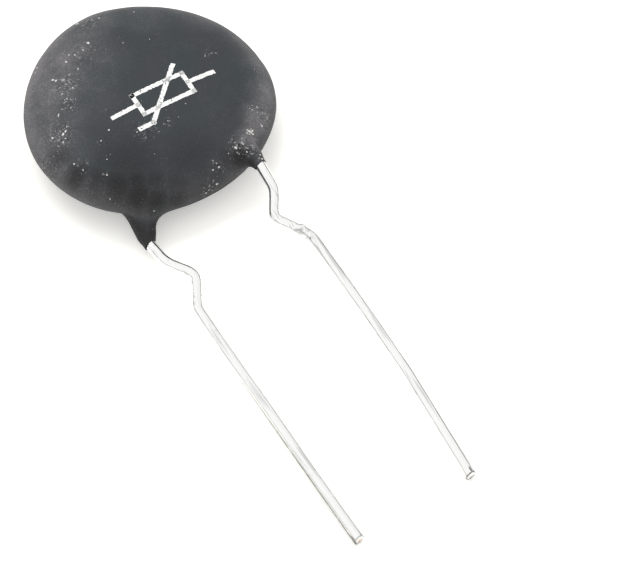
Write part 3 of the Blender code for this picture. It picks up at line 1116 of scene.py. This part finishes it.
    def _rims(self, skin: Object) -> None:
        """Turns the open edge of each neck in to the wire.

        Args:
            skin: The skin.
        """
        start = self.form.neck_radius - self.form.neck_taper
        for reach_in, fall in self.rim_steps:
            with editing(skin):
                bpy.ops.mesh.select_mode(type="EDGE")
                bpy.ops.mesh.select_all(action="DESELECT")
                bpy.ops.mesh.select_non_manifold(extend=False, use_wire=False, use_boundary=True,
                                                 use_multi_face=False, use_non_contiguous=False, use_verts=False)
                bpy.ops.mesh.extrude_edges_move(TRANSFORM_OT_translate={"value": (0, 0, 0)})
            chosen = np.empty(len(skin.data.vertices), dtype=bool)
            skin.data.vertices.foreach_get("select", chosen)
            points = points_of(skin)
            place = self.pose.to_disc(points)
            for lead in self.form.leads:
                near = chosen & (np.abs(place[:, 0] - lead.end_x) < self.rim_reach)
                centre = np.array((lead.end_x, lead.level()))
                spread = place[near][:, (0, 2)] - centre
                radius = np.linalg.norm(spread, axis=1)
                wanted = np.minimum(radius, start + (WIRE_RADIUS + self.wire_gap - start) * reach_in)
                place[near, 0] = centre[0] + spread[:, 0] * wanted / radius
                place[near, 2] = centre[1] + spread[:, 1] * wanted / radius
                place[near, 1] += fall
            set_points(skin, self.pose.from_disc(place))

    def _patches(self, tree: BVHTree, places: Iterable[Spot]) -> list[Patch]:
        """Where spots of the photograph's frame lie on the skin.

        Args:
            tree: The skin's search tree.
            places: The spots.

        Returns:
            Middle, reach and share of each that lies on the skin.
        """
        hits = [(self.camera.hit(tree, spot)[0], spot) for spot in places]
        return [(hit, spot.reach, spot.share) for hit, spot in hits if hit is not None]


@dataclass
class LeadWire:
    """One tinned lead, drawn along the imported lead's centre line."""

    node: str
    name: str
    camera: Viewpoint
    rounding: int
    swell_mm: tuple[Pair, ...]
    nudges_mm: tuple[Triple, ...]
    scuff: Spot
    bare: Pair
    edge: Triple
    tip_cut: Triple
    rim: float
    marks: tuple[Mark, ...]
    nicks: tuple[Spot, ...] = ()
    sides: int = 36
    station: float = 0.1 * MM
    first_station: float = 0.4 * MM
    end_gap: float = 0.01 * MM
    straight: float = 10 * MM
    tip_stations: tuple[float, int] = (0.35 * MM, 9)
    rim_insets_mm: tuple[Pair, ...] = ((0.02, 0.03), (0.05, 0.014))
    wobble: tuple[Triple, ...] = ((0.012, 0.5 * MM, 5.5), (0.006, 0.15 * MM, 1.5))
    burr: Triple = (0.07, 0.14 * MM, 9.5)
    burr_reach: float = 0.25 * MM
    nick_depth: float = 0.1 * MM
    nick_noise: Triple = (0.8, 0.16 * MM, 3.5)

    def build(self) -> Object:
        """Makes the wire.

        Returns:
            The finished piece.
        """
        line = self._centre_line()
        wire = self._drawn(line)
        self._shape(wire, line)
        self._nick(wire, line)
        keep_in_box(wire)
        hit = self.camera.hit(surface_tree(wire), self.scuff)[0]
        scuff = (hit or Vector(line[len(line) // 2]), self.scuff.share)
        tip = Vector(line[0])
        along = (Vector(line[np.abs(line[:, 1] - tip.y - self.straight).argmin()]) - tip).normalized()
        material = TinnedWire().material(self.name + "_tin", tip, along, self.bare, scuff, self.edge,
                                         self.tip_cut, self.rim, self.marks)
        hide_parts(self.node)
        return finish_piece(wire, material, 50.0)

    def _centre_line(self) -> np.ndarray:
        """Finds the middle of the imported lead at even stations, and nudges it.

        Returns:
            One row for each station, from the tip to the inner end.
        """
        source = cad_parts[self.node]
        points = points_of(source)
        ends = np.array([edge.vertices[:] for edge in source.data.edges])
        low, high = points[:, 1].min(), points[:, 1].max()
        count = int((high - low) / self.station)
        stations = np.linspace(low + self.first_station, high - self.end_gap, count)
        line = []
        for height in stations:
            one, other = points[ends[:, 0]], points[ends[:, 1]]
            crossing = (one[:, 1] - height) * (other[:, 1] - height) < 0
            one, other = one[crossing], other[crossing]
            share = (height - one[:, 1]) / (other[:, 1] - one[:, 1])
            cut = one + (other - one) * share[:, None]
            line.append((cut.max(axis=0) + cut.min(axis=0)) / 2)
        line = np.array(line)
        for _ in range(self.rounding):
            line[1:-1] = line[1:-1] * 0.5 + (line[:-2] + line[2:]) * 0.25
        slope = (line[10] - line[0]) / (line[10, 1] - line[0, 1])
        reach, count = self.tip_stations
        near_tip = low + np.linspace(0.0, reach, count)
        line = np.vstack((line[0] + np.outer(near_tip - line[0, 1], slope), line))
        line[-1, 1] = high
        at, *shifts = np.array(self.nudges_mm).T
        for axis, shift in zip((0, 2), shifts):
            line[:, axis] += np.interp(line[:, 1] / MM, at, shift) * MM
        return line

    def _drawn(self, line: np.ndarray) -> Object:
        """Makes a round tube with a narrow rounded rim at its cut end.

        Args:
            line: The tube's centre line.

        Returns:
            The wire.
        """
        curve = bpy.data.curves.new(self.name, "CURVE")
        curve.dimensions = "3D"
        spline = curve.splines.new("POLY")
        spline.points.add(len(line) - 1)
        for point, place in zip(spline.points, line):
            point.co = (*place, 1.0)
        curve.bevel_depth = WIRE_RADIUS
        curve.bevel_resolution = self.sides // 4 - 1
        hold(linked(self.name, curve))
        bpy.ops.object.convert(target="MESH")
        wire = bpy.context.object
        with editing(wire):
            bpy.ops.mesh.select_all(action="SELECT")
            bpy.ops.mesh.remove_doubles(threshold=1e-7)
            bpy.ops.mesh.fill_holes(sides=0)
            bpy.ops.mesh.select_all(action="SELECT")
            bpy.ops.mesh.normals_make_consistent(inside=False)
            bpy.ops.mesh.select_mode(type="FACE")
            bpy.ops.mesh.select_all(action="DESELECT")
        ends = [face for face in wire.data.polygons if len(face.vertices) > 4]
        min(ends, key=lambda face: face.center.y).select = True
        with editing(wire):
            for thickness, depth in self.rim_insets_mm:
                bpy.ops.mesh.inset(thickness=thickness * MM, depth=depth * MM)
            bpy.ops.mesh.poke()
        return wire

    @staticmethod
    def _outwards(points: np.ndarray, line: np.ndarray) -> tuple[np.ndarray, np.ndarray]:
        """The nearest station of the line to each point, and the way from there to the point."""
        nearest = np.linalg.norm(points[:, None, :] - line[None, :, :], axis=2).argmin(axis=1)
        return line[nearest], points - line[nearest]

    def _shape(self, wire: Object, line: np.ndarray) -> None:
        """Sets the wire's thickness, roughens it a little and slants its cut end.

        Args:
            wire: The wire.
            line: Its centre line.
        """
        points = points_of(wire)
        centre, spread = self._outwards(points, line)
        from_tip = np.linalg.norm(centre - line[0], axis=1)
        swell = np.interp(from_tip / MM, *np.array(self.swell_mm).T)
        wobble = 1 + layered(points, self.wobble)
        burr = 1 + layered(points, (self.burr,)) * (from_tip < self.burr_reach)
        shaped = centre + spread * (swell * wobble * burr)[:, None]
        under = np.clip(0.5 - 0.5 * spread[:, 2] / WIRE_RADIUS, 0, 1)
        aside = np.clip(0.5 + 0.5 * spread[:, 0] / WIRE_RADIUS, 0, 1)
        below, beside, shorter = self.tip_cut
        fade = np.clip(1 - from_tip / (TIP_FADE_MM * MM), 0, 1)
        shaped[:, 1] += (below * under + beside * aside + shorter) * fade
        set_points(wire, shaped)

    def _nick(self, wire: Object, line: np.ndarray) -> None:
        """Presses and lifts the marks that the bending tool left.

        Args:
            wire: The wire.
            line: Its centre line.
        """
        tree = surface_tree(wire)
        points = points_of(wire)
        outward = self._outwards(points, line)[1]
        outward /= np.maximum(np.linalg.norm(outward, axis=1), 1e-9)[:, None]
        for nick in self.nicks:
            hit = self.camera.hit(tree, nick)[0]
            if hit is None:
                continue
            away = np.linalg.norm(points - np.array(hit), axis=1) / nick.reach
            fall = np.clip(1 - away**2, 0, 1)
            rough = 1 + layered(points, (self.nick_noise,))
            points += outward * (fall * rough * nick.share * self.nick_depth)[:, None]
        set_points(wire, points)


@dataclass
class PrintedSymbol:
    """The general symbol of a thermistor, printed in white ink on the upper face, as strokes."""

    skin: Object
    pose: DiscPose
    camera: Viewpoint
    middle: Spot = Spot(163, 93)
    width: float = 0.33 * MM
    cell: float = 0.032 * MM
    lift: float = 0.008 * MM
    thickness: float = 0.014 * MM
    ragged: Pair = (0.14 * MM, 0.035 * MM)
    wear: tuple[Triple, ...] = ((1.0, 0.11 * MM, 4.5), (0.6, 0.5 * MM, 6.5), (0.5, 0.045 * MM, 7.5))
    worn_from: float = 0.68
    strokes_mm: tuple[tuple[Pair, Pair], ...] = (
        ((-3.9, 0.0), (-1.95, 0.0)), ((1.95, 0.0), (3.9, 0.0)), ((-1.95, -0.85), (1.95, -0.85)),
        ((1.95, -0.85), (1.95, 0.85)), ((1.95, 0.85), (-1.95, 0.85)), ((-1.95, 0.85), (-1.95, -0.85)),
        ((-1.75, -1.75), (1.75, 1.75)), ((-2.75, -1.75), (-1.75, -1.75)),
    )

    def build(self) -> Object:
        """Makes the print.

        Returns:
            The finished piece.
        """
        centre = self.camera.hit(surface_tree(self.skin), self.middle)[0]
        parts = [self._strip(order, centre) for order in range(len(self.strokes_mm))]
        rest_selection()
        for part in parts:
            part.select_set(True)
        bpy.context.view_layer.objects.active = parts[0]
        bpy.ops.object.join()
        ink = bpy.context.object
        ink.name = "ink_symbol"
        apply_modifier(ink, "SHRINKWRAP", target=self.skin, wrap_method="PROJECT", use_project_z=True,
                       use_negative_direction=True, use_positive_direction=False, offset=self.lift)
        self._wear(ink)
        apply_modifier(ink, "SOLIDIFY", thickness=self.thickness, offset=0.0)
        keep_in_box(ink)
        finish = Chalk("print_ink", (0.93, 0.93, 0.91), (0.62, 0.62, 0.61), 0.05 * MM)
        return finish_piece(ink, finish.material(), 50.0)

    def _strip(self, order: int, centre: Vector) -> Object:
        """Makes a flat strip of small squares over one stroke, above the coat.

        Args:
            order: The stroke's number.
            centre: The middle of the print.

        Returns:
            The strip.
        """
        start, end = (Vector((*place, 0.0)) * MM for place in self.strokes_mm[order])
        along = end - start
        length = along.length + self.width
        rest_selection()
        bpy.ops.mesh.primitive_grid_add(x_subdivisions=max(2, round(length / self.cell)),
                                        y_subdivisions=max(2, round(self.width / self.cell)), size=1.0)
        strip = bpy.context.object
        points = points_of(strip) * (length, self.width, 1.0)
        size, depth = self.ragged
        out = rolling(points + np.array((order * 3 * MM, 0, 0)), size, 2.5) * depth
        edge = np.abs(points[:, 1]) > self.width * 0.4
        points[:, 1] += np.sign(points[:, 1]) * edge * out
        turn = Matrix.Rotation(atan2(along.y, along.x), 4, "Z")
        middle = Vector((centre.x, centre.y, CAD_BOX[1][2] + 1 * MM)) + (start + end) / 2
        set_points(strip, DiscPose.moved_by(Matrix.Translation(middle) @ turn, points))
        return strip

    def _wear(self, ink: Object) -> None:
        """Takes out the squares where the ink has worn or never took."""
        middles = np.array([face.center for face in ink.data.polygons])
        delete_faces(ink, layered(middles, self.wear) > self.worn_from)


@dataclass
class Dust:
    """Chalky crumbs that cling to the coat."""

    skin: Object
    camera: Viewpoint
    seed: int = 11
    crumbs: tuple[Spot, ...] = spots(
        (88, 43, 0.13), (83, 50, 0.10), (69, 55, 0.09), (75, 55, 0.08), (53, 80, 0.13), (56, 80.8, 0.10),
        (58.6, 115.2, 0.12), (63.2, 134, 0.14), (65.5, 131.5, 0.11), (66.8, 126.5, 0.09), (63.5, 142, 0.11),
        (65.6, 138.5, 0.10), (52.5, 138, 0.09), (66, 62, 0.10), (78, 69, 0.08), (73, 88, 0.10), (62, 94, 0.09),
        (67, 99, 0.08), (71, 108, 0.09), (58.5, 116, 0.10), (77, 24, 0.14), (99, 18, 0.10), (134, 12, 0.09),
        (37, 68, 0.12), (35, 73, 0.09), (101, 141, 0.08), (109, 130, 0.08), (137, 132, 0.09), (151, 125, 0.08),
        (168, 121, 0.08), (74, 164, 0.08), (83, 170, 0.07), (107, 175, 0.08), (110, 199, 0.08), (154, 211, 0.09),
        (257, 107, 0.09), (262, 126, 0.10), (250, 132, 0.20), (236, 148, 0.12), (248.0, 131, 0.16),
        (249.5, 134.2, 0.15), (252.2, 131, 0.16), (250.6, 129.3, 0.13), (252.6, 134, 0.13), (247, 133, 0.10),
        (261, 124.5, 0.08), (243, 144, 0.08), (247, 152, 0.09), (260, 155, 0.09), (262, 159, 0.08),
        (219, 167, 0.10), (213, 170, 0.08), (217, 184, 0.11), (206, 193, 0.09), (205, 56, 0.08),
    )
    kinds: int = 6
    unevenness: Pair = (0.55, 1.15)
    flatness: Pair = (0.3, 0.9)
    sizes_mm: Pair = (0.018, 0.035)
    height: float = 0.3
    fullness: float = 0.95
    clusters: tuple[tuple[float, float, float, float, int], ...] = (
        (54, 79, 77, 83, 8), (58, 84, 76, 112, 12), (51, 126, 68, 144, 11), (36, 149, 67, 185, 18),
        (246, 129, 253, 136, 7), (228, 138, 264, 160, 16), (195, 160, 230, 200, 10), (60, 20, 150, 50, 12),
        (100, 100, 240, 160, 12), (230, 40, 272, 110, 8), (90, 190, 160, 240, 8),
    )

    def build(self) -> Object:
        """Makes the crumbs as one piece.

        Returns:
            The finished piece.
        """
        draw = Random(self.seed)
        tree = surface_tree(self.skin)
        kinds = [self._crumb(draw) for _ in range(self.kinds)]
        crumbs = list(self.crumbs)
        least, more = self.sizes_mm
        for left, top, right, bottom, count in self.clusters:
            crumbs += [Spot(draw.uniform(left, right), draw.uniform(top, bottom),
                            (least + more * draw.random() ** 2) * MM) for _ in range(count)]
        points, faces = [], []
        for spot in crumbs:
            hit, normal = self.camera.hit(tree, spot)
            if hit is None:
                continue
            shape, sides = draw.choice(kinds)
            turn = normal.to_track_quat("Z", "Y") @ Quaternion((0, 0, 1), draw.uniform(0, 2 * pi))
            size = Vector((1.0, draw.uniform(*self.flatness), self.height)) * spot.reach * self.fullness
            faces += [tuple(len(points) + i for i in side) for side in sides]
            points += [hit + turn @ (corner * size) for corner in shape]
        mesh = bpy.data.meshes.new("dust_crumbs")
        mesh.from_pydata([tuple(point) for point in points], [], faces)
        dust = linked("dust_crumbs", mesh)
        keep_in_box(dust)
        finish = Chalk("chalky_dust", (0.78, 0.77, 0.74), (0.34, 0.33, 0.32), 0.04 * MM)
        return finish_piece(dust, finish.material(), 30.0)

    def _crumb(self, draw: Random) -> tuple[list[Vector], list[tuple[int, ...]]]:
        """Makes one irregular crumb, one unit in radius.

        Args:
            draw: The source of random numbers.

        Returns:
            Its corners and its sides.
        """
        rest_selection()
        bpy.ops.mesh.primitive_ico_sphere_add(subdivisions=2, radius=1.0)
        ball = bpy.context.object
        corners = [vertex.co * draw.uniform(*self.unevenness) for vertex in ball.data.vertices]
        sides = [tuple(face.vertices) for face in ball.data.polygons]
        bpy.data.objects.remove(ball, do_unlink=True)
        return corners, sides


@dataclass
class Studio:
    """The pale floor, the soft dome and the window light."""

    floor_half: float = 0.6
    floor_colour: Colour = (0.95, 0.94, 0.89)
    floor_grain: float = 0.4 * MM
    floor_glow: float = 0.30
    left: float = 1.06
    right: float = 0.99
    fall: Pair = (0.10, 0.50)
    horizon: float = 0.02
    haze: Pair = (0.14, 0.40)
    low_haze: Pair = (0.04, 0.26)
    left_side: Pair = (-0.1, 0.1)
    window_from: Triple = (0.02, 0.35, 0.50)
    window_size: Pair = (0.46, 0.36)
    window_share: float = 0.34

    def build(self) -> None:
        """Adds the floor, the world and the lamp, and sets how colours are shown."""
        bpy.context.scene.view_settings.view_transform = "Standard"
        self._floor()
        self._dome()
        self._window()

    def _floor(self) -> None:
        """A level sheet under the part, a little brighter to the camera and in reflections."""
        rest_selection()
        bpy.ops.mesh.primitive_plane_add(size=2 * self.floor_half, location=(0, 0, 0))
        floor = bpy.context.object
        floor.name = "studio_floor"
        graph = Graph.of_material("pale_floor")
        fine = graph.speckle(self.floor_grain, 3.0, 0.5)
        colour = graph.mix(fine.ramp(0.3, 0.7), self.floor_colour, tuple(0.99 * c for c in self.floor_colour))
        seen = graph.ray("Camera").larger(graph.ray("Glossy"))
        glow = graph.mix(seen, (0.0, 0.0, 0.0), (self.floor_glow,) * 3)
        floor.data.materials.append(graph.dress(base_color=colour, roughness=0.9, specular_ior_level=0.0,
                                                emission_color=glow, emission_strength=1.0))

    def _dome(self) -> None:
        """A soft dome, dimmer to the right and at the horizon, and white to the camera.

        In reflections its dim band is lower on the left.
        """
        world = bpy.data.worlds.new("soft_dome")
        bpy.context.scene.world = world
        graph = Graph(world)
        direction = graph.value("ShaderNodeTexCoord", "Generated")
        across = graph.vector("DOT_PRODUCT", direction, (1.0, 0.0, 0.0))
        rise = graph.vector("DOT_PRODUCT", direction, (0.0, 0.0, 1.0))
        mirrored = graph.ray("Glossy") * across.ramp(*self.left_side, 1.0, 0.0)
        hazy = rise.ramp(*self.haze, self.horizon, 1.0)
        hazy = hazy + (rise.ramp(*self.low_haze, self.horizon, 1.0) - hazy) * mirrored
        level = across.ramp(*self.fall, self.left, self.right) * hazy
        seen = graph.ray("Camera")
        backdrop = graph.tree.nodes["Background"]
        graph.feed(backdrop.inputs["Color"], (1.0, 1.0, 1.0))
        graph.feed(backdrop.inputs["Strength"], level * (1 - seen) + seen)

    def _window(self) -> None:
        """A wide soft light, up behind the part's left."""
        place = Vector(self.window_from)
        data = bpy.data.lights.new("window", "AREA")
        data.shape = "RECTANGLE"
        data.size, data.size_y = self.window_size
        data.energy = self.window_share * pi**2 * place.length**2 / (place.z / place.length)
        lamp = linked("window", data)
        lamp.visible_glossy = False
        lamp.matrix_world = Matrix.Translation(place) @ place.to_track_quat("Z", "Y").to_matrix().to_4x4()


def dress_inner_parts() -> None:
    """Gives the pieces inside the coat their own finishes."""
    silver = SoftMetal("fired_silver_film", (0.74, 0.73, 0.70), (0.52, 0.50, 0.46), (0.35, 0.55), 0.03 * MM,
                       0.008 * MM).material()
    solder = SoftMetal("solder_joint", (0.66, 0.66, 0.65), (0.44, 0.44, 0.44), (0.22, 0.45), 0.08 * MM,
                       0.02 * MM).material()
    finishes = {"ceramic_disc": Sintered().material(), "upper_electrode": silver, "lower_electrode": silver,
                "left_solder": solder, "right_solder": solder}
    for node, material in finishes.items():
        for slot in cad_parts[node].material_slots:
            slot.material = material
        LOG.info("%s: dressed", node)


def main() -> None:
    """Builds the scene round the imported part."""
    logging.basicConfig(level=logging.INFO, format="%(message)s")
    camera = Viewpoint()
    camera.build()
    leads = (LeadPlace(Face.LOWER, -4.50 * MM, -5.09 * MM, 9.27 * MM, 0.13 * MM, 2.25 * MM, 0.7 * MM),
             LeadPlace(Face.UPPER, 3.78 * MM, 3.76 * MM, 8.92 * MM, -0.10 * MM, 1.75 * MM, 0.8 * MM))
    pose = DiscPose()
    skin = Coat(CoatForm(leads), pose, camera).build()
    LeadWire(
        "left_lead", "left_lead_wire", camera, rounding=8,
        swell_mm=((0.0, 1.08), (0.12, 1.08), (20.0, 1.07), (26.0, 1.0)),
        nudges_mm=((-22.3, 0.11, 0.0), (-19.7, 0.06, 0.0), (-15.7, 0.015, 0.0), (-10.5, 0.02, 0.0),
                   (-5.4, -0.03, 0.0), (-1.0, 0.0, 0.0), (1.4, -0.04, 0.0), (3.4, -0.11, -0.05),
                   (4.8, -0.06, 0.0), (5.8, 0.08, 0.0), (6.9, 0.22, 0.0), (8.6, 0.22, 0.0), (11.5, 0.0, 0.0)),
        scuff=Spot(214, 327, share=0.25), bare=(0.30 * MM, 0.55), edge=(19.0, 0.90, 0.20),
        tip_cut=(0.0, 0.10 * MM, 0.0), rim=0.4, marks=(Mark(0.10, 0.55, -0.80, 0.22, 0.9),)).build()
    LeadWire(
        "right_lead", "right_lead_wire", camera, rounding=3,
        swell_mm=((0.0, 1.05), (0.08, 1.04), (20.0, 1.04), (26.0, 1.0)),
        nudges_mm=((-22.0, -0.02, 0.0), (-18.3, 0.01, 0.0), (-13.6, 0.115, 0.0), (-8.7, 0.05, 0.0),
                   (-4.0, -0.085, 0.0), (-1.4, -0.15, 0.0), (0.9, 0.0, 0.0)),
        scuff=Spot(303, 233), bare=(0.3 * MM, 0.1), edge=(18.0, 0.2, 0.2),
        tip_cut=(-0.05 * MM, 0.09 * MM, 0.35 * MM), rim=0.9,
        marks=(Mark(0.30, 0.36, 0.52, 0.17, 0.9), Mark(0.05, 0.16, 1.0, 0.35, 0.6)),
        nicks=spots((302, 229, 0.34, 0.9), (303, 226.8, 0.30, 1.8), (307, 236, 0.36, -0.8),
                    (298, 231, 0.3, -0.6), (312, 240, 0.32, 0.4), (318, 249, 0.4, -0.4))).build()
    PrintedSymbol(skin, pose, camera).build()
    Dust(skin, camera).build()
    dress_inner_parts()
    Studio().build()


if __name__ == "__main__":
    main()
